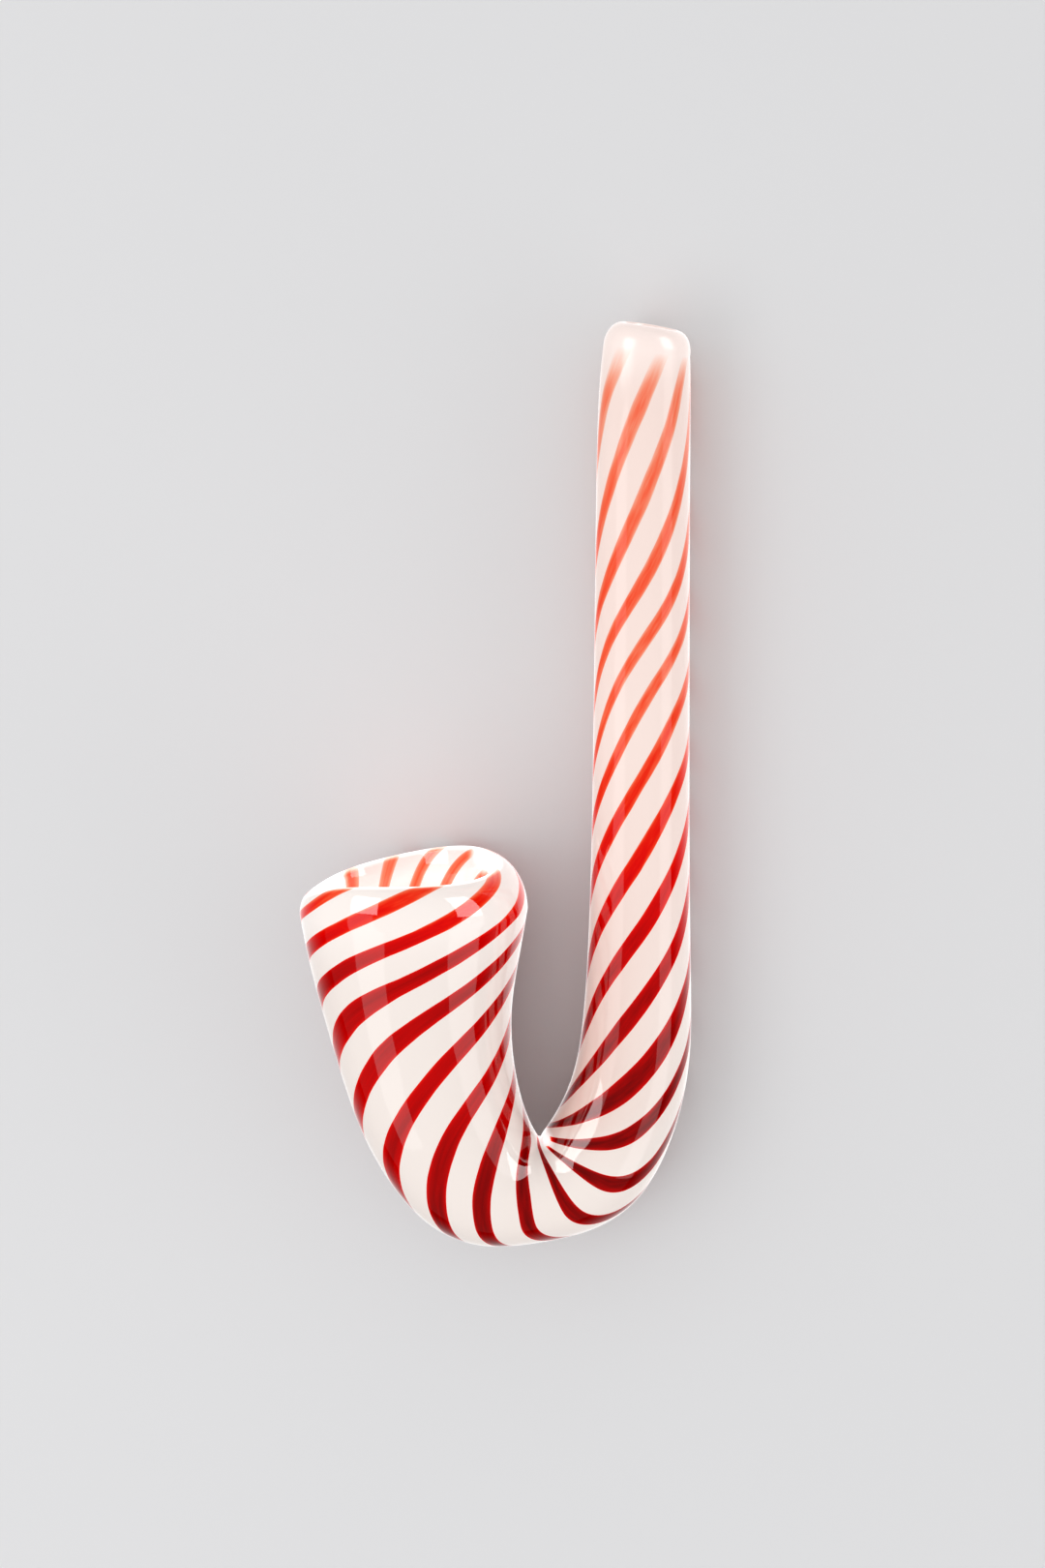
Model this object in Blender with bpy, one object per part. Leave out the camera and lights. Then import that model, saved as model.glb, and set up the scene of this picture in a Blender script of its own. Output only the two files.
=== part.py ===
"""A hand-blown glass pipe bent like a candy cane, lying on its side: flared bowl, sharp kink, long stem.

The wall is one closed surface. Its outer skin runs from the bowl's rim round the bend to the mouthpiece, the
mouthpiece's lip turns it in, the airway leads back to the bowl's cup, and the rim's lip closes it.
"""

import bpy
import numpy as np

MM = 0.001
COLLECTION = "candy_cane_pipe"
NODE = "pipe"

# Outer skin, in millimetres from the crease inside the bend: x across the hook, y up the stem.
# Each station is a cut through the pipe: its point on the outside of the hook, its point on the
# inside of the hook, and the pipe's whole depth there. Between stations the sizes run smoothly.
STATIONS = (
    ("rim", (-33.0, 31.4), (-1.5, 32.2), 31.4),
    ("bowl upper", (-31.9, 25.1), (-2.5, 26.2), 28.7),
    ("bowl middle", (-29.8, 17.2), (-4.0, 18.3), 25.8),
    ("bowl lower", (-27.5, 9.0), (-3.6, 10.4), 23.7),
    ("bowl foot", (-24.9, 0.9), (-2.2, 4.3), 22.6),
    ("heel start", (-20.9, -6.6), (-0.9, 1.2), 21.3),
    ("heel", (-15.4, -13.1), (-0.2, 0.1), 20.0),
    ("sole start", (-8.0, -16.0), (0.0, -0.3), 18.4),
    ("sole", (-0.1, -15.1), (0.2, -0.3), 17.0),
    ("sole end", (7.5, -13.6), (0.3, -0.3), 16.5),
    ("bend rise", (14.1, -9.5), (0.3, -0.2), 16.8),
    ("bend back", (18.0, -2.3), (0.6, 0.4), 17.0),
    ("stem root", (20.3, 5.2), (2.6, 3.2), 16.5),
    ("stem low", (21.3, 12.8), (5.3, 9.0), 15.4),
    ("stem lower", (21.1, 22.4), (6.6, 19.0), 14.4),
    ("stem mid low", (20.8, 37.4), (7.3, 37.4), 13.6),
    ("stem mid", (20.7, 58.9), (7.55, 58.9), 13.1),
    ("stem mid high", (20.6, 80.2), (7.75, 80.2), 12.9),
    ("stem high", (20.6, 94.7), (7.85, 94.7), 12.8),
    ("mouth base", (20.6, 105.9), (8.2, 104.8), 12.4),
    ("mouth", (20.5, 108.1), (8.8, 110.0), 12.0),
)
LAST = len(STATIONS) - 1

# Hollow, from the rim to the mouthpiece: station number, radius and offset towards the outside of the
# hook, in millimetres. The cup narrows to a floor with a draft hole, past which the airway opens again.
HOLLOW = (
    (0.0, 12.0, 1.8),
    (0.5, 11.3, 1.4),
    (1.2, 10.6, 0.6),
    (2.0, 9.7, 0.0),
    (3.0, 8.6, 0.0),
    (3.8, 7.4, 0.0),
    (4.15, 4.5, 0.0),
    (4.2, 1.6, 0.0),
    (4.35, 1.6, 0.0),
    (4.5, 1.6, 0.0),
    (4.7, 4.2, 0.0),
    (5.5, 5.0, 0.0),
    (7.0, 4.8, 0.0),
    (8.5, 4.5, 0.0),
    (10.0, 4.4, 0.0),
    (11.5, 4.3, 0.0),
    (13.0, 3.9, 0.0),
    (14.5, 3.7, 0.0),
    (16.0, 3.6, 0.0),
    (18.0, 3.5, 0.0),
    (19.0, 3.4, 0.0),
    (20.0, 3.3, 0.0),
)

# Lips: how far across the wall their crests lie, as shares of its width, and how far they rise above its end.
# The rim's rises are in millimetres, at even steps of angle from the shown side towards the outside of the
# hook, and its crest runs smoothly through them: high beside the stem, low opposite.
RIM_CREST = 0.72
RIM_RISES = (5.7, 5.6, 1.7, 4.1, 5.9, 7.9, 6.2, 5.3)
MOUTH_CREST = 0.85
MOUTH_RISE_PER_WIDTH = 1.2

# The pipe lies on these stretches of the skin, as station numbers, and is ground flat by this depth
RESTS_ON = ((0.0, 1.0), (11.0, 13.0), (18.5, 20.0))
FLAT_DEPTH = 0.2

# How finely the lowest points are looked for, and how often the pipe is levelled on them anew
RESTING_ANGLES = 240
RESTING_RINGS = 60
RESTING_ROUNDS = 12

AROUND = 36
SKIN_RINGS = 54
HOLLOW_RINGS = 44
LIP_RINGS = 6

GLASS_COLOUR = (0.86, 0.36, 0.33, 1.0)
GLASS_ROUGHNESS = 0.05


def through(rows, along):
    """The rows' sizes at each number in along, on a uniform cubic B-spline from the first row to the last."""
    rows = np.array(rows, float)
    padded = np.vstack([2 * rows[0] - rows[1], rows, 2 * rows[-1] - rows[-2]])
    span = np.clip(along.astype(int), 0, len(rows) - 2)
    t = (along - span)[..., None]
    weights = ((1 - t) ** 3, 3 * t**3 - 6 * t**2 + 4, 3 * (t + t**2 - t**3) + 1, t**3)
    return sum(weight * padded[span + i] for i, weight in enumerate(weights)) / 6


def cut(station):
    """Centre, outward direction, half width and half depth of the pipe at each station number."""
    sizes = through([(*outer, *inner, depth) for _, outer, inner, depth in STATIONS], station)
    outer = sizes[..., 0:2]
    inner = sizes[..., 2:4]
    width = np.linalg.norm(outer - inner, axis=-1)
    outward = (outer - inner) / width[..., None]
    return (outer + inner) / 2, outward, width / 2, sizes[..., 4] / 2


def ring(centre, outward, across, deep):
    """Points that lie across from the centre along outward, and deep towards +Z."""
    flat = centre + across[..., None] * outward
    return np.concatenate([flat, deep[..., None]], axis=-1)


def skin(station, angle):
    """Outer skin: an ellipse at each station, whose angle starts at the shown side and turns outward."""
    station, angle = np.broadcast_arrays(station, angle)
    centre, outward, half_width, half_depth = cut(station)
    return ring(centre, outward, half_width * np.sin(angle), half_depth * np.cos(angle))


def hollow(along, angle):
    """Inside of the wall: a circle at each step along HOLLOW, in the plane of its station."""
    along, angle = np.broadcast_arrays(along, angle)
    sizes = through(HOLLOW, along)
    centre, outward, _, _ = cut(sizes[..., 0])
    radius = sizes[..., 1]
    return ring(centre, outward, sizes[..., 2] + radius * np.sin(angle), radius * np.cos(angle))


def wall_end(station, along, angle):
    """The skin's edge and the hollow's at an end of the wall, and the direction onward along the pipe."""
    outward = cut(np.array([station]))[1][0]
    onward = np.array([-outward[1], outward[0], 0.0])
    return skin(np.array([station]), angle), hollow(np.array([along]), angle), onward


def lip(edge, bore, axis, turn, crest, rise):
    """Wall end from the skin's edge over to the bore's: two quarter ellipses that meet at the crest."""
    over = np.where(turn < np.pi / 2, crest * (1 - np.cos(turn)), crest - (1 - crest) * np.cos(turn))
    return edge + (bore - edge) * over[..., None] + (rise * np.sin(turn))[..., None] * axis


def rim_lip(turn, angle):
    """Bowl's lip: thick beside the stem and thin opposite, its crest drawn by RIM_RISES."""
    edge, bore, onward = wall_end(0.0, 0.0, angle)
    rows = [(rise,) for rise in RIM_RISES[-1:] + RIM_RISES + RIM_RISES[:2]]
    rise = through(rows, 1 + len(RIM_RISES) * angle / (2 * np.pi))[..., 0]
    return lip(edge, bore, -onward, turn, RIM_CREST, rise)


def mouth_lip(turn, angle):
    """Mouthpiece's lip: an even roll from the skin to the airway."""
    edge, bore, onward = wall_end(float(LAST), len(HOLLOW) - 1.0, angle)
    rise = MOUTH_RISE_PER_WIDTH * np.linalg.norm(bore - edge, axis=-1)
    return lip(edge, bore, onward, turn, MOUTH_CREST, rise)


def wall(around, skin_rings, lip_rings, hollow_rings):
    """Rings of points, in millimetres, that go once round the wall: skin, mouth lip, hollow, rim lip."""
    angle = np.linspace(0, 2 * np.pi, around, endpoint=False)[None, :]
    turn = np.linspace(0, np.pi, lip_rings + 2)[1:-1, None]
    return np.concatenate(
        [
            skin(np.linspace(0, LAST, skin_rings)[:, None], angle),
            mouth_lip(turn, angle),
            hollow(np.linspace(len(HOLLOW) - 1, 0, hollow_rings)[:, None], angle),
            rim_lip(np.pi - turn, angle),
        ]
    )


def resting_axes():
    """Rows X, Y and Z of the frame in which the pipe's three touching places are level below it."""
    angle = np.linspace(0, 2 * np.pi, RESTING_ANGLES)[None, :]
    stations = [np.linspace(first, last, RESTING_RINGS)[:, None] for first, last in RESTS_ON]
    places = [skin(station, angle).reshape(-1, 3) for station in stations]
    up = np.array([0.0, 0.0, 1.0])
    for _ in range(RESTING_ROUNDS):
        bowl, bend, mouth = (place[np.argmin(place @ up)] for place in places)
        up = np.cross(bend - bowl, mouth - bowl)
        up /= np.linalg.norm(up)
    across = np.cross([0.0, 1.0, 0.0], up)
    across /= np.linalg.norm(across)
    return np.array([across, np.cross(up, across), up])


def laid_down(rings):
    """The rings turned to their resting pose and centred over the origin, with small flats at height 0."""
    placed = rings @ resting_axes().T
    placed[..., 2] -= placed[..., 2].min() + FLAT_DEPTH
    placed[..., 2] = np.maximum(placed[..., 2], 0.0)
    low = placed.min(axis=(0, 1))
    high = placed.max(axis=(0, 1))
    placed[..., :2] -= (low + high)[:2] / 2
    return placed * MM


def glass_material():
    material = bpy.data.materials.new("striped_glass")
    material.use_nodes = True
    shader = material.node_tree.nodes["Principled BSDF"]
    shader.inputs["Base Color"].default_value = GLASS_COLOUR
    shader.inputs["Roughness"].default_value = GLASS_ROUGHNESS
    shader.inputs["Metallic"].default_value = 0.0
    return material


def closed_loft(name, rings):
    """A mesh of quads between each ring and the next, the last ring joined to the first."""
    count, around = rings.shape[:2]
    here = np.arange(count * around).reshape(count, around)
    onward = np.roll(here, -1, axis=0)
    quads = np.stack([here, np.roll(here, -1, axis=1), np.roll(onward, -1, axis=1), onward], axis=-1)
    mesh = bpy.data.meshes.new(name)
    mesh.from_pydata(rings.reshape(-1, 3).tolist(), [], quads.reshape(-1, 4).tolist())
    mesh.validate()
    mesh.shade_smooth()
    return mesh


def main():
    for obj in list(bpy.data.objects):
        bpy.data.objects.remove(obj, do_unlink=True)
    collection = bpy.data.collections.new(COLLECTION)
    bpy.context.scene.collection.children.link(collection)
    mesh = closed_loft(NODE, laid_down(wall(AROUND, SKIN_RINGS, LIP_RINGS, HOLLOW_RINGS)))
    mesh.materials.append(glass_material())
    collection.objects.link(bpy.data.objects.new(NODE, mesh))


main()
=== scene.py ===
"""Looks of a blown glass pipe bent like a candy cane: opal white glass, eight red canes twisted round it.

Run as a script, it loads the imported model, puts a fine striped surface in the place of its plain solid,
and sets up a plain studio round it. Sizes without a unit in their name are millimetres from the crease
inside the bend, x across the hook and y up the stem, until place() turns them to the frame's metres.
"""

import bpy
import numpy as np
from mathutils import Matrix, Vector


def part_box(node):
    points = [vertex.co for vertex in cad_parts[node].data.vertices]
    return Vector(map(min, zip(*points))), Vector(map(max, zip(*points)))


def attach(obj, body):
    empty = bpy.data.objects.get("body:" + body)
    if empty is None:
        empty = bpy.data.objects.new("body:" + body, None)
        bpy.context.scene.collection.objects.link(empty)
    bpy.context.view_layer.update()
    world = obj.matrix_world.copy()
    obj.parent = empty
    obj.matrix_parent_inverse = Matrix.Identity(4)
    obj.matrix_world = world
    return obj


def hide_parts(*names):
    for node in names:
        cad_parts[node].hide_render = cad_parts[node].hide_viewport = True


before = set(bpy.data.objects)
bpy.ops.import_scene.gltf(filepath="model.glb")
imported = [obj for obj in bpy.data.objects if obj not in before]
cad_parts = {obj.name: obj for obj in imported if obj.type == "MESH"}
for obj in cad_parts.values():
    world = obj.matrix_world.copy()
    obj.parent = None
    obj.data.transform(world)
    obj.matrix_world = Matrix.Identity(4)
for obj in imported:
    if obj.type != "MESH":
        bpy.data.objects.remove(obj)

bl_info = {
    "name": "Striped glass pipe",
    "version": (1, 0, 0),
    "blender": (4, 5, 0),
    "location": "3D View > Sidebar > Glass Pipe",
    "description": "Builds a blown glass pipe with twisted red stripes and a studio to show it in",
    "category": "Object",
}

MM = 0.001
NODE = "pipe"
SLOT = "striped_glass"

# Outer skin, from the bowl's rim to the mouthpiece: each station's point on the outside of the hook, its
# point on the inside of the hook, and the pipe's whole depth there
STATIONS = (
    ("rim", (-33.0, 31.4), (-1.5, 32.2), 31.4),
    ("bowl upper", (-31.9, 25.1), (-2.5, 26.2), 28.7),
    ("bowl middle", (-29.8, 17.2), (-4.0, 18.3), 25.8),
    ("bowl lower", (-27.5, 9.0), (-3.6, 10.4), 23.7),
    ("bowl foot", (-24.9, 0.9), (-2.2, 4.3), 22.6),
    ("heel start", (-20.9, -6.6), (-0.9, 1.2), 21.3),
    ("heel", (-15.4, -13.1), (-0.2, 0.1), 20.0),
    ("sole start", (-8.0, -16.0), (0.0, -0.3), 18.4),
    ("sole", (-0.1, -15.1), (0.2, -0.3), 17.0),
    ("sole end", (7.5, -13.6), (0.3, -0.3), 16.5),
    ("bend rise", (14.1, -9.5), (0.3, -0.2), 16.8),
    ("bend back", (18.0, -2.3), (0.6, 0.4), 17.0),
    ("stem root", (20.3, 5.2), (2.6, 3.2), 16.5),
    ("stem low", (21.3, 12.8), (5.3, 9.0), 15.4),
    ("stem lower", (21.1, 22.4), (6.6, 19.0), 14.4),
    ("stem mid low", (20.8, 37.4), (7.3, 37.4), 13.6),
    ("stem mid", (20.7, 58.9), (7.55, 58.9), 13.1),
    ("stem mid high", (20.6, 80.2), (7.75, 80.2), 12.9),
    ("stem high", (20.6, 94.7), (7.85, 94.7), 12.8),
    ("mouth base", (20.6, 105.9), (8.2, 104.8), 12.4),
    ("mouth", (20.5, 108.1), (8.8, 110.0), 12.0),
)
LAST = len(STATIONS) - 1

# Hollow, from the rim to the mouthpiece: station number, radius and offset towards the outside of the hook
HOLLOW = (
    (0.0, 12.0, 1.8),
    (0.5, 11.3, 1.4),
    (1.2, 10.6, 0.6),
    (2.0, 9.7, 0.0),
    (3.0, 8.6, 0.0),
    (3.8, 7.4, 0.0),
    (4.15, 4.5, 0.0),
    (4.2, 1.6, 0.0),
    (4.35, 1.6, 0.0),
    (4.5, 1.6, 0.0),
    (4.7, 4.2, 0.0),
    (5.5, 5.0, 0.0),
    (7.0, 4.8, 0.0),
    (8.5, 4.5, 0.0),
    (10.0, 4.4, 0.0),
    (11.5, 4.3, 0.0),
    (13.0, 3.9, 0.0),
    (14.5, 3.7, 0.0),
    (16.0, 3.6, 0.0),
    (18.0, 3.5, 0.0),
    (19.0, 3.4, 0.0),
    (20.0, 3.3, 0.0),
)

# Lips: how far across the wall their crests lie, as shares of its width, and how far they rise above its
# end. The rim's rises are at even steps of angle from the shown side towards the outside of the hook.
RIM_CREST = 0.72
RIM_RISES = (5.7, 5.6, 1.7, 4.1, 5.9, 7.9, 6.2, 5.3)
MOUTH_CREST = 0.85
MOUTH_RISE_PER_WIDTH = 1.2

# The pipe lies on these stretches of the skin, as station numbers, and is ground flat by this depth
RESTS_ON = ((0.0, 1.0), (11.0, 13.0), (18.5, 20.0))
FLAT_DEPTH = 0.2

# How finely the lowest points are looked for, and how often the pipe is levelled on them anew
RESTING_ANGLES = 240
RESTING_RINGS = 60
RESTING_ROUNDS = 12

# Rings of the surface: skin, each lip and hollow, and the ring on the crest of the rim's lip, which is the
# middle one, counted inward from the skin's edge
SKIN_RINGS = 425
LIP_RINGS = 27
HOLLOW_RINGS = 173
RIM_CREST_RING = LIP_RINGS // 2 + 1

# How the canes run: station, how many canes the shown side has crossed up to there, how far they lean from
# an even twist at the sides of the hook, and how far they lag at the back
CANE_RUN = (
    (0.0, -0.20, 0.08, -0.05),
    (1.0, 0.90, 0.08, 0.05),
    (2.0, 2.05, 0.08, -0.05),
    (3.0, 2.95, 0.04, 0.00),
    (4.0, 3.75, -0.04, 0.15),
    (5.0, 4.40, 0.00, 0.10),
    (6.0, 5.00, 0.15, -0.05),
    (7.0, 5.65, 0.42, 0.00),
    (8.0, 6.35, 0.77, -0.05),
    (9.0, 7.10, 0.92, -0.30),
    (10.0, 7.85, 1.00, -0.60),
    (11.0, 8.70, 0.77, -0.35),
    (12.0, 9.45, 0.46, -0.15),
    (13.0, 10.25, 0.38, -0.15),
    (14.0, 11.20, 0.35, 0.05),
    (15.0, 12.75, 0.23, 0.05),
    (16.0, 14.75, 0.04, 0.35),
    (17.0, 17.09, 0.08, 0.00),
    (18.0, 18.31, 0.12, -0.05),
    (19.0, 19.04, 0.12, -0.30),
    (20.0, 19.43, 0.12, -0.30),
)

# Share of the lean that goes with twice the angle
LEAN_SECOND_TURN = 0.15

# Canes on the crest of the bowl's lip, in degrees from the shown side towards the outside of the hook, the
# number of the first one, and how many are carried on past a whole turn at each end to close the curve
CREST_CANES = (-20.0, 34.5, 90.0, 142.5, 172.5, 203.0, 238.5, 288.0)
CANES = len(CREST_CANES)
FIRST_CREST_CANE = -1
CREST_OVERLAP = 2

# How the canes twist and lean on their way down into the cup, and the distance over which the lean fades
CUP_TWIST_PER_MM = 0.075
CUP_LEAN_PER_MM = 0.237
CUP_LEAN_FADES_MM = 3.8

# Glass by station: how deep the red is, the share of the spacing that a cane takes, how far the opal glass
# has turned from the bowl's white to pink, how much further on the inside of the hook, which is painted shade
# and painted red bounce light, and a painted glow, light painted on as if it shone through the glass
CANE_LOOK = (
    (0.0, 7.0, 0.37, 0.0, 0.0, 0.10),
    (1.0, 15.5, 0.40, 0.0, 0.0, 0.02),
    (2.0, 15.5, 0.38, 0.0, 0.0, 0.0),
    (3.0, 13.8, 0.36, 0.0, 0.0, 0.0),
    (4.0, 16.0, 0.39, 0.0, 0.0, 0.0),
    (5.0, 21.0, 0.42, 0.0, 0.0, 0.0),
    (6.0, 27.5, 0.43, 0.0, 0.0, 0.0),
    (7.0, 29.5, 0.37, 0.0, 0.0, 0.0),
    (8.0, 28.5, 0.33, 0.0, 0.0, 0.0),
    (9.0, 28.0, 0.35, 0.0, 0.0, 0.0),
    (10.0, 29.0, 0.39, 0.05, 0.0, 0.0),
    (11.0, 30.0, 0.38, 0.2, 0.2, 0.0),
    (12.0, 31.5, 0.36, 0.5, 0.5, 0.0),
    (13.0, 25.0, 0.36, 0.55, 0.51, 0.02),
    (14.0, 17.0, 0.36, 0.60, 0.40, 0.05),
    (15.0, 7.0, 0.385, 0.68, 0.10, 0.08),
    (16.0, 2.5, 0.33, 0.72, 0.0, 0.10),
    (17.0, 2.2, 0.39, 0.74, 0.0, 0.10),
    (18.0, 1.4, 0.38, 0.74, 0.0, 0.10),
    (19.0, 1.1, 0.42, 0.7, 0.0, 0.10),
    (19.5, 0.40, 0.42, 0.62, 0.0, 0.13),
    (20.0, 0.0, 0.42, 0.6, 0.0, 0.17),
)

# Stations between which the polish turns soft towards the mouthpiece
POLISH_SOFTENS = (18.6, 19.5)

# Canes that are wider than the rest: number, share added, the angle in degrees where all of it is added,
# and the cosine of the turn from there at which none is left
WIDE_CANES = ((10, 0.19, 0.0, 0.35), (1, 0.14, 40.0, 0.85))

# Painted highlights, white spots on the skin by the crease and inside both ends of the bowl's mouth, where
# the
# red is cleared and a painted glow added: middle, distances at which the red is gone and whole again, and
# distances at which the painted glow is whole and gone
SKIN_PAINTED_HIGHLIGHTS = (((0.9, 0.2), (0.8, 1.8), (0.4, 1.4)),)
CUP_PAINTED_HIGHLIGHTS = (((-7.6, 38.2), (1.6, 2.4), (0.4, 1.8)), ((-30.0, 34.4), (2.4, 3.4), (1.8, 3.4)))
HIGHLIGHT_PAINTED_GLOW = 0.7

# Over the lip and down inside the cup: distance past the lip's crest, depth of the red, and a painted glow
# that lightens the cup's inside as if light shone through the wall
CUP_LOOK = (
    (0.0, 1.9, 0.10),
    (1.5, 2.0, 0.19),
    (4.0, 2.0, 0.37),
    (20.0, 1.2, 0.37),
    (32.0, 0.0, 0.37),
)

# Painted highlight along the lip's crest: how far from it the highlight is whole and gone, its painted glow,
# and the share of the red that is left in it
CREST_HIGHLIGHT = (0.3, 0.8)
CREST_HIGHLIGHT_GLOW = 0.6
CREST_HIGHLIGHT_RED = 0.2

# Distances past the lip's crest between which the hollow turns pink and its polish soft
HOLLOW_TURNS_PINK = (60.0, 120.0)

# Noise over the glass, as cells per metre of the piece and levels of finer detail: the canes' wander, the
# red's thickness, the opal glass's clouds and the waves of the surface
WANDER_NOISE = (90.0, 2.0)
THICKNESS_NOISE = (70.0, 1.0)
CLOUD_NOISE = (60.0, 1.0)
WAVE_NOISE = (140.0, 0.0)
NOISE_MIDDLE = 0.5

# Streaks drawn out along the pipe: how many lie side by side from one cane to the next, cells per millimetre
# of the way along, and noise in those cells
STREAKS_PER_CANE = 12.0
STREAK_CELLS_PER_MM = 0.12
STREAK_NOISE = (1.0, 1.0)

GLASS_IOR = 1.5
FLOOR_ROUGHNESS = 0.9

# Camera, from the crease: what it looks at, how far off it is, its tilt in degrees from straight over the
# pipe's plane towards the mouthpiece, its lens, and the nearest that it sees in metres
CAMERA_TARGET = (-2.22, 49.49, 0.0)
CAMERA_DISTANCE = 606.0
CAMERA_TILT = 8.6
CAMERA_LENS = 101.25
CAMERA_SEES_FROM = 0.01

# Softboxes: name, degrees to the right of the camera and above it, width, height and distance in metres,
# brightness, and whether matte surfaces and gloss see them
SOFTBOXES = (
    ("left", -55.0, -24.0, 0.31, 0.50, 0.6, 1.1, True, True),
    ("right", 64.0, -22.0, 0.34, 0.54, 0.6, 1.1, True, True),
    ("high_left", -50.0, 17.0, 0.82, 0.90, 1.5, 6.0, False, True),
    ("high_right", 60.0, 24.0, 0.82, 1.15, 1.5, 6.0, False, True),
    ("top_fill", 0.0, 70.0, 0.80, 0.50, 0.6, 0.3, True, False),
    ("left_fill", -75.0, 0.0, 0.50, 0.90, 0.6, 0.30, True, False),
    ("right_fill", 75.0, 0.0, 0.50, 0.90, 0.6, 0.12, True, False),
)

# Columns of the looks' numbers: which cane, as a number that is whole at its middle; depth of the red; the
# canes' share of their spacing; how pink the white is; the painted glow, painted light; how soft the polish
# is
PHASE, DEPTH, SHARE, PINK, PAINTED_GLOW, SOFT = range(6)


def smooth_rows(rows, along):
    """Rows' sizes at each number in along: a uniform cubic B-spline that starts and ends on its end rows."""
    rows = np.array(rows, float)
    padded = np.vstack([2 * rows[0] - rows[1], rows, 2 * rows[-1] - rows[-2]])
    span = np.clip(along.astype(int), 0, len(rows) - 2)
    t = (along - span)[..., None]
    weights = ((1 - t) ** 3, 3 * t**3 - 6 * t**2 + 4, 3 * (t + t**2 - t**3) + 1, t**3)
    return sum(weight * padded[span + i] for i, weight in enumerate(weights)) / 6


def through_rows(rows, at):
    """Columns of rows at the places in at: cubics through every row, with the slopes its neighbours give."""
    rows = np.array(rows, float)
    knots = rows[:, 0]
    values = rows[:, 1:]
    slopes = np.gradient(values, knots, axis=0)
    left = np.clip(np.searchsorted(knots, at, side="right") - 1, 0, len(knots) - 2)
    step = (knots[left + 1] - knots[left])[..., None]
    t = (at - knots[left])[..., None] / step
    start = (2 * t**3 - 3 * t**2 + 1) * values[left] + (t**3 - 2 * t**2 + t) * step * slopes[left]
    end = (3 * t**2 - 2 * t**3) * values[left + 1] + (t**3 - t**2) * step * slopes[left + 1]
    return start + end


def cut(station):
    """Centre, outward direction, half width and half depth of the pipe at each station number."""
    sizes = smooth_rows([(*outer, *inner, depth) for _, outer, inner, depth in STATIONS], station)
    outer = sizes[..., 0:2]
    inner = sizes[..., 2:4]
    width = np.linalg.norm(outer - inner, axis=-1)
    return (outer + inner) / 2, (outer - inner) / width[..., None], width / 2, sizes[..., 4] / 2


def ring(centre, outward, across, deep):
    """Points at centre + across * outward in the pipe's plane, and deep above it."""
    flat = centre + across[..., None] * outward
    return np.concatenate([flat, deep[..., None]], axis=-1)


def skin(station, angle):
    """Outer skin: centre + half width * sin(angle) outward + half depth * cos(angle) up, at each station."""
    station, angle = np.broadcast_arrays(station, angle)
    centre, outward, half_width, half_depth = cut(station)
    return ring(centre, outward, half_width * np.sin(angle), half_depth * np.cos(angle))


def hollow(along, angle):
    """Inside of the wall: a circle of the bore's radius round its offset centre, at each step of HOLLOW."""
    along, angle = np.broadcast_arrays(along, angle)
    sizes = smooth_rows(HOLLOW, along)
    centre, outward, _, _ = cut(sizes[..., 0])
    radius = sizes[..., 1]
    return ring(centre, outward, sizes[..., 2] + radius * np.sin(angle), radius * np.cos(angle))


def wall_end(station, along, angle):
    """The skin's edge and the hollow's at an end of the wall, and the direction onward along the pipe."""
    outward = cut(np.array([station]))[1][0]
    onward = np.array([-outward[1], outward[0], 0.0])
    return skin(np.array([station]), angle), hollow(np.array([along]), angle), onward


def lip(edge, bore, axis, turn, crest, rise):
    """Wall end from the skin's edge over to the bore's: two quarter ellipses that meet at the crest."""
    over = np.where(turn < np.pi / 2, crest * (1 - np.cos(turn)), crest - (1 - crest) * np.cos(turn))
    return edge + (bore - edge) * over[..., None] + (rise * np.sin(turn))[..., None] * axis


def rim_lip(turn, angle):
    """Bowl's lip: thick beside the stem and thin opposite, its crest on a closed spline over RIM_RISES."""
    edge, bore, onward = wall_end(0.0, 0.0, angle)
    rows = [(rise,) for rise in RIM_RISES[-1:] + RIM_RISES + RIM_RISES[:2]]
    rise = smooth_rows(rows, 1 + len(RIM_RISES) * angle / (2 * np.pi))[..., 0]
    return lip(edge, bore, -onward, turn, RIM_CREST, rise)


def mouth_lip(turn, angle):
    """Mouthpiece's lip: an even roll from the skin to the airway."""
    edge, bore, onward = wall_end(float(LAST), len(HOLLOW) - 1.0, angle)
    rise = MOUTH_RISE_PER_WIDTH * np.linalg.norm(bore - edge, axis=-1)
    return lip(edge, bore, onward, turn, MOUTH_CREST, rise)


def resting_axes():
    """Rows X, Y and Z of the frame in which the pipe's three touching places are level below it."""
    angle = np.linspace(0, 2 * np.pi, RESTING_ANGLES)[None, :]
    stations = [np.linspace(first, last, RESTING_RINGS)[:, None] for first, last in RESTS_ON]
    places = [skin(station, angle).reshape(-1, 3) for station in stations]
    up = np.array([0.0, 0.0, 1.0])
    for _ in range(RESTING_ROUNDS):
        bowl, bend, mouth = (place[np.argmin(place @ up)] for place in places)
        up = np.cross(bend - bowl, mouth - bowl)
        up /= np.linalg.norm(up)
    across = np.cross([0.0, 1.0, 0.0], up)
    across /= np.linalg.norm(across)
    return np.array([across, np.cross(up, across), up])


def cane_phase(station, angle):
    """Which cane lies at a place on the skin, whole at its middle: crossed - canes * turn + lean + lag."""
    crossed, lean, lag = np.moveaxis(through_rows(CANE_RUN, station), -1, 0)
    sideways = np.sin(angle) + LEAN_SECOND_TURN * np.sin(2 * angle)
    return crossed - CANES * angle / (2 * np.pi) + lean * sideways + lag * (1 - np.cos(angle))


def crest_phase(angle):
    """Which cane lies at each angle on the crest of the bowl's lip: a closed curve through CREST_CANES."""
    numbers = range(-CREST_OVERLAP, CANES + CREST_OVERLAP + 1)
    rows = [(CREST_CANES[n % CANES] + 360 * (n // CANES), FIRST_CREST_CANE - n) for n in numbers]
    return through_rows(rows, np.degrees(angle))[..., 0]


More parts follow.
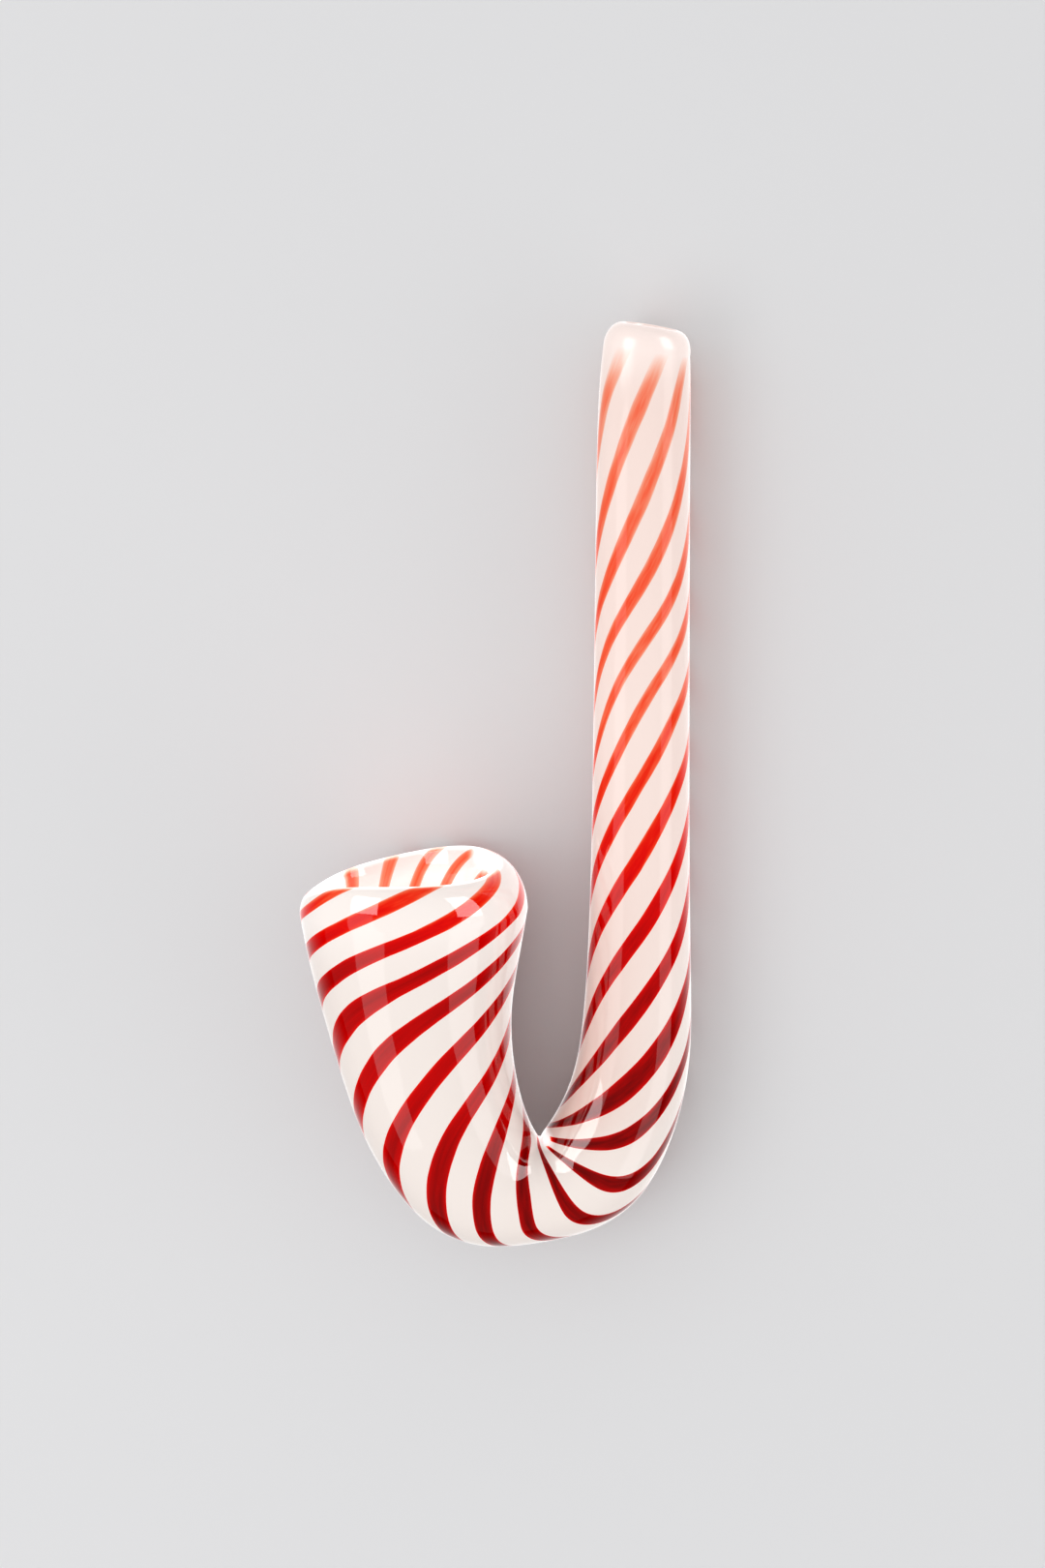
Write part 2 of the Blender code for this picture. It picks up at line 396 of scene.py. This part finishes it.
def distances(points):
    """Distance run along the first axis up to each ring of points, for each angle."""
    steps = np.linalg.norm(np.diff(points, axis=0), axis=-1)
    return np.concatenate([np.zeros_like(steps[:1]), np.cumsum(steps, axis=0)])


def add_painted_highlights(points, looks, highlight_spots):
    """Painted highlights: thins the red and raises the painted glow by each point's distance from their
    middles.
    """
    for middle, clears, painted_glows in highlight_spots:
        away = np.linalg.norm(points[..., :2] - middle, axis=-1)
        looks[..., DEPTH] *= np.interp(away, clears, (0, 1))
        looks[..., PAINTED_GLOW] += HIGHLIGHT_PAINTED_GLOW * np.interp(away, painted_glows, (1, 0))


def skin_looks(station, angle):
    """The looks' numbers on the skin: CANE_LOOK by station, with the wide canes wider on the shown side."""
    station, angle = np.broadcast_arrays(station, angle)
    phase = cane_phase(station, angle)
    depth, share, pink, shaded_pink_inside, painted_glow = np.moveaxis(through_rows(CANE_LOOK, station), -1, 0)

    # Past half a turn the numbers are a whole turn of canes lower than the same canes' on the shown side
    unwound = phase + CANES * (angle > np.pi)
    for number, extra, middle, reach in WIDE_CANES:
        shown = np.clip((np.cos(angle - np.radians(middle)) - reach) / (1 - reach), 0, 1)
        share = share + extra * shown * (np.abs(unwound - number) < 0.5)
    soft = np.interp(station, POLISH_SOFTENS, (0, 1))
    # The pink added on the inside of the hook is painted shade and painted red bounce light, darker and
    # pinker
    return np.stack([phase, depth, share, pink - shaded_pink_inside * np.sin(angle), painted_glow, soft], axis=-1)


def inner_looks(inward, angle, edge_looks):
    """The looks' numbers from the skin's edge over the rim's lip and down the hollow.

    Past the crest a cane's number is its number there - twist * distance + lean * sin(angle), where the lean
    grows as 1 - exp(-distance / fade).
    """
    run = distances(inward)
    crest = run[RIM_CREST_RING]
    blend = np.clip(run / crest, 0, 1)
    down = np.maximum(run - crest, 0)
    lean = CUP_LEAN_PER_MM * CUP_LEAN_FADES_MM * (1 - np.exp(-down / CUP_LEAN_FADES_MM))
    phase = crest_phase(angle) - CUP_TWIST_PER_MM * down + lean * np.sin(angle)
    past, depths, painted_glows = np.transpose(CUP_LOOK)
    looks = np.repeat(edge_looks, len(inward), axis=0)
    # Painted highlight along the lip's crest: less red and more painted glow there
    in_highlight = np.interp(np.abs(run - crest), CREST_HIGHLIGHT, (1, 0))
    looks[..., PHASE] += (phase - looks[..., PHASE]) * blend
    looks[..., DEPTH] += (np.interp(down, past, depths) - looks[..., DEPTH]) * blend
    looks[..., DEPTH] *= 1 - (1 - CREST_HIGHLIGHT_RED) * in_highlight
    looks[..., PINK] = np.interp(down, HOLLOW_TURNS_PINK, (0, 1))
    # Painted glow inside the cup, and the painted highlight along the crest
    looks[..., PAINTED_GLOW] = np.interp(down, past, painted_glows) + CREST_HIGHLIGHT_GLOW * in_highlight
    looks[..., SOFT] = looks[..., PINK]
    return looks


def glass_surface(around):
    """Rings once round the wall, skin, mouth lip, hollow and rim lip, the looks' numbers and the way along.

    The last point of each ring is its first again, so that the looks run on round the whole turn.
    """
    angle = np.linspace(0, 2 * np.pi, around + 1)[None, :]
    turn = np.linspace(0, np.pi, LIP_RINGS + 2)[1:-1, None]
    station = np.linspace(0, LAST, SKIN_RINGS)[:, None]
    outside = skin(station, angle)
    outside_looks = skin_looks(station, angle)
    mouth_looks = np.repeat(outside_looks[-1:], LIP_RINGS, axis=0)

    rim = rim_lip(turn, angle)
    airway = hollow(np.linspace(0, len(HOLLOW) - 1, HOLLOW_RINGS)[:, None], angle)
    inward = np.concatenate([outside[:1], rim, airway])
    inside_looks = inner_looks(inward, angle, outside_looks[:1])
    add_painted_highlights(outside, outside_looks, SKIN_PAINTED_HIGHLIGHTS)
    add_painted_highlights(inward[RIM_CREST_RING:], inside_looks[RIM_CREST_RING:], CUP_PAINTED_HIGHLIGHTS)
    rim_looks = inside_looks[1 : LIP_RINGS + 1]
    airway_looks = inside_looks[LIP_RINGS + 1 :]

    points = np.concatenate([outside, mouth_lip(turn, angle), airway[::-1], rim[::-1]])
    looks = np.concatenate([outside_looks, mouth_looks, airway_looks[::-1], rim_looks[::-1]])
    return points, looks, distances(points)


def fit_to_frame(points):
    """From millimetres to the frame: rows of the resting axes, then scale and shift to the pipe's box."""
    axes = resting_axes()
    turned = (points @ axes.T).reshape(-1, 3)
    low = turned.min(axis=0)
    low[2] += FLAT_DEPTH
    high = turned.max(axis=0)
    box_low, box_high = (np.array(corner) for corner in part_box(NODE))
    scale = (box_high - box_low) / (high - low)
    return axes, scale, box_low - low * scale


def place(points, axes, scale, shift):
    """Millimetre points in the frame's metres, ground flat where the pipe touches down."""
    placed = (points @ axes.T) * scale + shift
    placed[..., 2] = np.maximum(placed[..., 2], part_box(NODE)[0][2])
    return placed


def view_axes(axes):
    """Columns right, up and back of the camera in the frame: the pipe's own axes, tilted by CAMERA_TILT."""
    tilt = np.radians(CAMERA_TILT)
    right = (1.0, 0.0, 0.0)
    up = (0.0, np.cos(tilt), -np.sin(tilt))
    back = (0.0, np.sin(tilt), np.cos(tilt))
    return axes @ np.column_stack([right, up, back])


class Wire:
    """An output socket of a node tree, on which arithmetic adds Math nodes."""

    def __init__(self, tree, socket):
        self.tree = tree
        self.socket = socket

    @classmethod
    def make(cls, tree, kind, settings=(), inputs=(), output=0):
        """A new node of this kind, its settings made first, then its sockets' values or links."""
        node = tree.nodes.new(kind)
        for name, value in dict(settings).items():
            setattr(node, name, value)
        for name, value in dict(inputs).items():
            if isinstance(value, Wire):
                tree.links.new(value.socket, node.inputs[name])
            else:
                node.inputs[name].default_value = value
        return cls(tree, node.outputs[output])

    def math(self, operation, *values):
        return Wire.make(self.tree, "ShaderNodeMath", {"operation": operation}, enumerate(values))

    def __add__(self, other):
        return self.math("ADD", self, other)

    def __radd__(self, other):
        return self.math("ADD", other, self)

    def __sub__(self, other):
        return self.math("SUBTRACT", self, other)

    def __rsub__(self, other):
        return self.math("SUBTRACT", other, self)

    def __mul__(self, other):
        return self.math("MULTIPLY", self, other)

    def __rmul__(self, other):
        return self.math("MULTIPLY", other, self)

    def __truediv__(self, other):
        return self.math("DIVIDE", self, other)

    def __abs__(self):
        return self.math("ABSOLUTE", self)

    def fract(self):
        return self.math("FRACT", self)

    def at_least(self, low):
        return self.math("MAXIMUM", self, low)

    def sqrt(self):
        return self.math("SQRT", self)

    def exp(self):
        return self.math("EXPONENT", self)

    def sin(self):
        return self.math("SINE", self)

    def cos(self):
        return self.math("COSINE", self)


def new_material(name):
    """An empty material, its tree and its output node."""
    material = bpy.data.materials.new(name)
    material.use_nodes = True
    material.node_tree.nodes.clear()
    output = material.node_tree.nodes.new("ShaderNodeOutputMaterial")
    return material, material.node_tree, output


def noise(tree, where, cells, detail):
    """Smooth noise round 0, with this many cells per unit of where."""
    inputs = {"Vector": where, "Scale": cells, "Detail": detail}
    return Wire.make(tree, "ShaderNodeTexNoise", {}, inputs, "Fac") - NOISE_MIDDLE


def striped_glass():
    """Opal glass under a red layer: white * exp(-absorbed * depth), the depth rounded across each cane.

    Across a cane, from -1 to 1, the depth is its middle's * sqrt(1 - across * across). Red light is taken up
    only by what is deeper than red_passes.
    """
    settings = bpy.context.scene.pipe_glass
    material, tree, output = new_material(SLOT)
    on_piece = Wire.make(tree, "ShaderNodeTexCoord", output="Object")
    canes = Wire.make(tree, "ShaderNodeUVMap", {"uv_map": "canes"})
    phase = Wire.make(tree, "ShaderNodeSeparateXYZ", {}, {0: canes}, "X")
    depth = Wire.make(tree, "ShaderNodeSeparateXYZ", {}, {0: canes}, "Y")
    share, pink, painted_glow, soft, run = (
        Wire.make(tree, "ShaderNodeAttribute", {"attribute_name": name}, {}, "Fac")
        for name in ("share", "pink", "painted_glow", "soft", "run")
    )

    # Streaks: noise on a drum that turns once for all the canes, so that it closes where their numbers do
    turn = phase * (2 * np.pi / CANES)
    drum = STREAKS_PER_CANE * CANES / (2 * np.pi)
    on_drum = {0: turn.cos() * drum, 1: turn.sin() * drum, 2: run * STREAK_CELLS_PER_MM}
    streaks = noise(tree, Wire.make(tree, "ShaderNodeCombineXYZ", {}, on_drum), *STREAK_NOISE)

    drawn = phase + noise(tree, on_piece, *WANDER_NOISE) * settings.wander
    from_middle = abs((drawn + 0.5).fract() - 0.5)
    across = from_middle / (share * 0.5)
    rounded = (1 - across * across).at_least(0.0).sqrt()
    uneven = 1 + noise(tree, on_piece, *THICKNESS_NOISE) * settings.uneven
    streaked = 1 + streaks * settings.streaked
    thick = rounded * depth * uneven * streaked
    reached = (thick - settings.red_passes).at_least(0.0), thick, thick
    passed = [(layer * -rate).exp() for layer, rate in zip(reached, settings.absorbed)]
    red_layer = Wire.make(tree, "ShaderNodeCombineXYZ", {}, enumerate(passed))

    clouded = pink + noise(tree, on_piece, *CLOUD_NOISE) * settings.clouded
    whites = {"Factor": clouded, "A": (*settings.bowl_white, 1.0), "B": (*settings.pink_white, 1.0)}
    opal = Wire.make(tree, "ShaderNodeMix", {"data_type": "RGBA"}, whites, 2)
    colour = Wire.make(tree, "ShaderNodeVectorMath", {"operation": "MULTIPLY"}, {0: opal, 1: red_layer})
    # Painted light: an emitted glow of red_layer * white * the painted glow numbers, as if light shone
    # through
    shining = {0: red_layer, 1: tuple(settings.painted_glow_white)}
    through = Wire.make(tree, "ShaderNodeVectorMath", {"operation": "MULTIPLY"}, shining)
    painted_glowing = Wire.make(tree, "ShaderNodeVectorMath", {"operation": "SCALE"}, {0: through, "Scale": painted_glow})
    height = {"Strength": 1.0, "Distance": settings.wave, "Height": noise(tree, on_piece, *WAVE_NOISE)}
    waves = Wire.make(tree, "ShaderNodeBump", {}, height)
    finish = {
        "Base Color": colour,
        "Roughness": soft * settings.softened + settings.roughness,
        "IOR": GLASS_IOR,
        "Normal": waves,
        "Emission Color": painted_glowing,
        "Emission Strength": 1.0,
    }
    glass = Wire.make(tree, "ShaderNodeBsdfPrincipled", {}, finish)
    tree.links.new(glass.socket, output.inputs["Surface"])
    return material


def corners(values):
    """Numbers on a grid of points, put on the corners of the quads between them, the last row joined on."""
    closed = np.concatenate([values, values[:1]])
    return np.stack([closed[:-1, :-1], closed[:-1, 1:], closed[1:, 1:], closed[1:, :-1]], axis=2)


def add_piece(name, points, material):
    """A closed mesh of quads between each ring of points and the next, the last ring joined to the first."""
    rings, around = points.shape[:2]
    here = np.arange(rings * around).reshape(rings, around)
    onward = np.roll(here, -1, axis=0)
    quads = np.stack([here, np.roll(here, -1, axis=1), np.roll(onward, -1, axis=1), onward], axis=-1)
    mesh = bpy.data.meshes.new(name)
    mesh.vertices.add(rings * around)
    mesh.vertices.foreach_set("co", points.astype(np.float32).ravel())
    mesh.loops.add(quads.size)
    mesh.loops.foreach_set("vertex_index", quads.astype(np.int32).ravel())
    mesh.polygons.add(rings * around)
    mesh.polygons.foreach_set("loop_start", np.arange(0, quads.size, 4, dtype=np.int32))
    mesh.update(calc_edges=True)
    mesh.validate()
    mesh.shade_smooth()
    mesh.materials.append(material)
    piece = bpy.data.objects.new(name, mesh)
    bpy.context.scene.collection.objects.link(piece)
    return piece


def set_map(mesh, name, values):
    """A UV map with these pairs of numbers on the quads' corners."""
    layer = mesh.uv_layers.new(name=name)
    layer.uv.foreach_set("vector", values.astype(np.float32).ravel())


def set_numbers(mesh, name, values):
    """A float attribute with these numbers on the points."""
    layer = mesh.attributes.new(name, "FLOAT", "POINT")
    layer.data.foreach_set("value", values.astype(np.float32).ravel())


class PipeGlass(bpy.types.PropertyGroup):
    """Sizes and colours of the glass."""

    around: bpy.props.IntProperty(
        name="Points around", description="Points on each ring of the surface", default=144, min=36, max=144
    )
    bowl_white: bpy.props.FloatVectorProperty(
        name="Bowl white",
        description="Opal glass of the bowl and the bend",
        subtype="COLOR",
        default=(0.915, 0.83, 0.78),
    )
    # Pink white is also the colour of the painted shade and painted red bounce light on the inside of the
    # hook
    pink_white: bpy.props.FloatVectorProperty(
        name="Pink white",
        description="Opal glass where it has taken up most of the red",
        subtype="COLOR",
        default=(0.86, 0.645, 0.575),
    )
    absorbed: bpy.props.FloatVectorProperty(
        name="Absorbed",
        description="Red, green and blue that a unit of red glass takes up",
        default=(0.054, 1.0, 1.4),
    )
    red_passes: bpy.props.FloatProperty(
        name="Red passes",
        description="Units of red glass that take up no red light yet",
        default=2.0,
        min=0.0,
    )
    # Colour of the painted glow, light painted into the glass as if it shone through the opal glass
    painted_glow_white: bpy.props.FloatVectorProperty(
        name="Glow white",
        description="Light that shows through the opal glass",
        subtype="COLOR",
        default=(0.82, 0.88, 0.92),
    )
    wander: bpy.props.FloatProperty(
        name="Wander", description="How far a cane's edge strays, in canes", default=0.10, min=0.0, max=0.5
    )
    uneven: bpy.props.FloatProperty(
        name="Unevenness", description="How much the red's thickness varies", default=0.5, min=0.0, max=2.0
    )
    streaked: bpy.props.FloatProperty(
        name="Streaks",
        description="How much the red's thickness varies across a cane",
        default=0.9,
        min=0.0,
        max=2.0,
    )
    clouded: bpy.props.FloatProperty(
        name="Clouds", description="How much the opal glass's pink varies", default=0.25, min=0.0, max=1.0
    )
    wave: bpy.props.FloatProperty(
        name="Wave height",
        description="Height of the waves in the hand-worked surface",
        default=0.0001,
        unit="LENGTH",
    )
    roughness: bpy.props.FloatProperty(
        name="Roughness",
        description="Roughness of the fire-polished surface",
        default=0.03,
        min=0.0,
        max=1.0,
    )
    softened: bpy.props.FloatProperty(
        name="Softened polish",
        description="Roughness added at the mouthpiece",
        default=0.22,
        min=0.0,
        max=1.0,
    )


class PipeStage(bpy.types.PropertyGroup):
    """Floor and light of the studio."""

    floor_size: bpy.props.FloatProperty(
        name="Floor size", description="Side of the square floor", default=8.0, unit="LENGTH"
    )
    floor_colour: bpy.props.FloatVectorProperty(
        name="Floor colour",
        description="Pale finish of the floor",
        subtype="COLOR",
        default=(0.70, 0.70, 0.71),
    )
    floor_mirrored: bpy.props.FloatProperty(
        name="Mirrored floor",
        description="Brightness of the floor where the gloss mirrors it from straight above",
        default=1.5,
        min=0.0,
    )
    fill: bpy.props.FloatProperty(
        name="Fill light", description="Brightness of the even light from all round", default=0.85, min=0.0
    )
    mirrored: bpy.props.FloatProperty(
        name="Mirrored light",
        description="Brightness of that light where the gloss mirrors it",
        default=0.10,
        min=0.0,
    )


class PIPE_OT_glass(bpy.types.Operator):
    """Build the pipe's striped glass in the place of its plain solid"""

    bl_idname = "pipe.glass"
    bl_label = "Striped Glass"

    def execute(self, context):
        points, looks, run = glass_surface(context.scene.pipe_glass.around)
        placed = place(points[:, :-1], *fit_to_frame(points))
        piece = add_piece("striped_glass_body", placed, striped_glass())
        set_map(piece.data, "canes", corners(looks[..., [PHASE, DEPTH]]))
        for name, column in (("share", SHARE), ("pink", PINK), ("painted_glow", PAINTED_GLOW), ("soft", SOFT)):
            set_numbers(piece.data, name, looks[:, :-1, column])
        set_numbers(piece.data, "run", run[:, :-1])
        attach(piece, "root")
        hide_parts(NODE)
        return {"FINISHED"}


class PIPE_OT_stage(bpy.types.Operator):
    """Set up the pale floor, the soft light and the camera"""

    bl_idname = "pipe.stage"
    bl_label = "Stage"

    def execute(self, context):
        settings = context.scene.pipe_stage
        self.add_floor(context, settings)
        points, _, _ = glass_surface(context.scene.pipe_glass.around)
        resting, scale, shift = fit_to_frame(points)
        target = place(np.array([CAMERA_TARGET]), resting, scale, shift)[0]
        axes = view_axes(resting)
        self.add_camera(context, axes, target)
        for row in SOFTBOXES:
            self.add_softbox(context, axes, target, row)
        self.add_surround(context, settings)
        context.scene.view_settings.view_transform = "Standard"
        return {"FINISHED"}

    @staticmethod
    def add_floor(context, settings):
        """A square floor at height 0: matte, but where gloss mirrors it as bright as floor_mirrored makes it.

        That light fades with the square of the cosine from straight above, which is 1 - Facing.
        """
        half = settings.floor_size / 2
        mesh = bpy.data.meshes.new("floor")
        edge = [(-half, -half, 0), (half, -half, 0), (half, half, 0), (-half, half, 0)]
        mesh.from_pydata(edge, [], [range(len(edge))])
        material, tree, output = new_material("floor")
        finish = {"Base Color": (*settings.floor_colour, 1.0), "Roughness": FLOOR_ROUGHNESS}
        matte = Wire.make(tree, "ShaderNodeBsdfPrincipled", {}, finish)
        steep = 1 - Wire.make(tree, "ShaderNodeLayerWeight", output="Facing")
        shining = {"Strength": steep * steep * settings.floor_mirrored}
        bright = Wire.make(tree, "ShaderNodeEmission", {}, shining)
        mirrored = Wire.make(tree, "ShaderNodeLightPath", output="Is Glossy Ray")
        shader = Wire.make(tree, "ShaderNodeMixShader", {}, {0: mirrored, 1: matte, 2: bright})
        tree.links.new(shader.socket, output.inputs["Surface"])
        mesh.materials.append(material)
        floor = bpy.data.objects.new("floor", mesh)
        context.scene.collection.objects.link(floor)

    @staticmethod
    def add_camera(context, axes, target):
        """The camera, backed off from its target."""
        camera = bpy.data.objects.new("camera", bpy.data.cameras.new("camera"))
        camera.data.lens = CAMERA_LENS
        camera.data.clip_start = CAMERA_SEES_FROM
        camera.matrix_world = standing(axes, target + CAMERA_DISTANCE * MM * axes[:, 2])
        context.scene.collection.objects.link(camera)
        context.scene.camera = camera

    @staticmethod
    def add_softbox(context, axes, target, row):
        """A rectangular light that faces the target, where a row of SOFTBOXES puts it.

        Its energy is brightness * pi * its area, so that it looks as bright from any distance.
        """
        name, right, up, width, height, distance, brightness, matte, gloss = row
        light = bpy.data.lights.new(f"softbox_{name}", "AREA")
        light.shape = "RECTANGLE"
        light.size = width
        light.size_y = height
        light.energy = brightness * np.pi * width * height
        softbox = bpy.data.objects.new(light.name, light)
        softbox.visible_camera = False
        softbox.visible_diffuse = matte
        softbox.visible_glossy = gloss
        across = np.radians(right)
        lift = np.radians(up)
        back = axes @ np.array([np.sin(across) * np.cos(lift), np.sin(lift), np.cos(across) * np.cos(lift)])
        side = np.cross(axes[:, 1], back)
        side /= np.linalg.norm(side)
        facing = np.column_stack([side, np.cross(back, side), back])
        softbox.matrix_world = standing(facing, target + distance * back)
        context.scene.collection.objects.link(softbox)

    @staticmethod
    def add_surround(context, settings):
        """Even light from all round, which the gloss sees at another brightness."""
        world = bpy.data.worlds.new("studio")
        world.use_nodes = True
        tree = world.node_tree
        tree.nodes.clear()
        mirrored = Wire.make(tree, "ShaderNodeLightPath", output="Is Glossy Ray")
        strength = settings.fill + mirrored * (settings.mirrored - settings.fill)
        even = {"Strength": strength, "Color": (1.0, 1.0, 1.0, 1.0)}
        background = Wire.make(tree, "ShaderNodeBackground", {}, even)
        surround = tree.nodes.new("ShaderNodeOutputWorld")
        tree.links.new(background.socket, surround.inputs["Surface"])
        context.scene.world = world


def standing(axes, where):
    """Matrix of a camera or a light at a place, with its right, up and back along the columns of axes."""
    return Matrix.Translation(where.tolist()) @ Matrix(axes.tolist()).to_4x4()


class PIPE_PT_panel(bpy.types.Panel):
    """Lists the pipe's settings and what builds it"""

    bl_label = "Glass Pipe"
    bl_idname = "PIPE_PT_panel"
    bl_space_type = "VIEW_3D"
    bl_region_type = "UI"
    bl_category = "Glass Pipe"

    def draw(self, context):
        scene = context.scene
        for operator, settings in ((PIPE_OT_glass, scene.pipe_glass), (PIPE_OT_stage, scene.pipe_stage)):
            box = self.layout.box()
            for name in settings.bl_rna.properties.keys():
                if name not in ("rna_type", "name"):
                    box.prop(settings, name)
            box.operator(operator.bl_idname)


CLASSES = (PipeGlass, PipeStage, PIPE_OT_glass, PIPE_OT_stage, PIPE_PT_panel)


def register():
    for cls in CLASSES:
        bpy.utils.register_class(cls)
    bpy.types.Scene.pipe_glass = bpy.props.PointerProperty(type=PipeGlass)
    bpy.types.Scene.pipe_stage = bpy.props.PointerProperty(type=PipeStage)


def unregister():
    del bpy.types.Scene.pipe_stage
    del bpy.types.Scene.pipe_glass
    for cls in reversed(CLASSES):
        bpy.utils.unregister_class(cls)


def main():
    register()
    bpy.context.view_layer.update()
    bpy.ops.pipe.glass()
    bpy.ops.pipe.stage()


if __name__ == "__main__":
    main()
